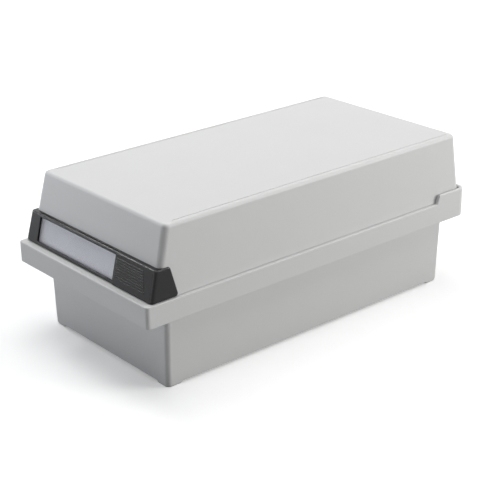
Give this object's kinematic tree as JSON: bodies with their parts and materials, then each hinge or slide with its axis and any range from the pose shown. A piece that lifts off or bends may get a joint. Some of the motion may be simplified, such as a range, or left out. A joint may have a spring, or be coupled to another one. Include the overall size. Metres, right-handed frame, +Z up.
{
  "type": "index card box",
  "caption": "Desktop index card box with a wide-flanged tray, a rear-hinged lid, a front label clip with a ribbed thumb grip, and a sliding card support inside.",
  "frame": {"origin": "centre of the footprint, in the plane the four corner feet stand on", "axes": "+X to the right seen from the label, +Y from the label front to the hinge, +Z up"},
  "size_m": [0.18, 0.356, 0.138],
  "materials": {
    "grey_plastic": "moulded polystyrene, fine matt grain",
    "black_plastic": "moulded, satin to glossy",
    "clear_plastic": "clear polished polystyrene",
    "paper": "smooth white label paper",
    "zinc_steel": "bright zinc plating on pressed steel",
    "aluminium": "bare rivet heads",
    "painted_steel": "dark grey powder coat on sheet steel"
  },
  "bodies": {
    "tray": {"base_tray": "grey_plastic", "hinge_base_leaf": "zinc_steel", "hinge_base_rivets": "aluminium", "hinge_pin": "zinc_steel"},
    "lid": {"lid_shell": "grey_plastic", "hinge_lid_leaf": "zinc_steel", "hinge_lid_rivets": "aluminium", "front_clip": "black_plastic", "label_window": "clear_plastic"},
    "label": {"label_card": "paper"},
    "card_support": {"support_plate": "painted_steel", "support_foot": "black_plastic", "support_rivets": "aluminium", "clamp_pin": "zinc_steel", "clamp_spring": "zinc_steel"},
    "clamp": {"clamp_lever": "black_plastic"}
  },
  "joints": [
    {"name": "lid_hinge", "type": "hinge", "parent": "tray", "child": "lid", "pos_m": [0, 0.16663, 0.096], "axis": [-1, 0, 0], "range_deg": [0, 108]},
    {"name": "label_slide", "type": "slide", "parent": "lid", "child": "label", "axis": [0, 0.2436, 0.9699], "range_m": [0, 0.024]},
    {"name": "support_slide", "type": "slide", "parent": "tray", "child": "card_support", "axis": [0, 1, 0], "range_m": [-0.205, 0.024]},
    {"name": "clamp_pivot", "type": "hinge", "parent": "card_support", "child": "clamp", "pos_m": [0, 0.09902, 0.0094], "axis": [-1, 0, 0], "range_deg": [0, 10], "stiffness_Nm_per_rad": 0.08, "springref_deg": -11.46, "deforming": ["clamp_spring"]}
  ]
}
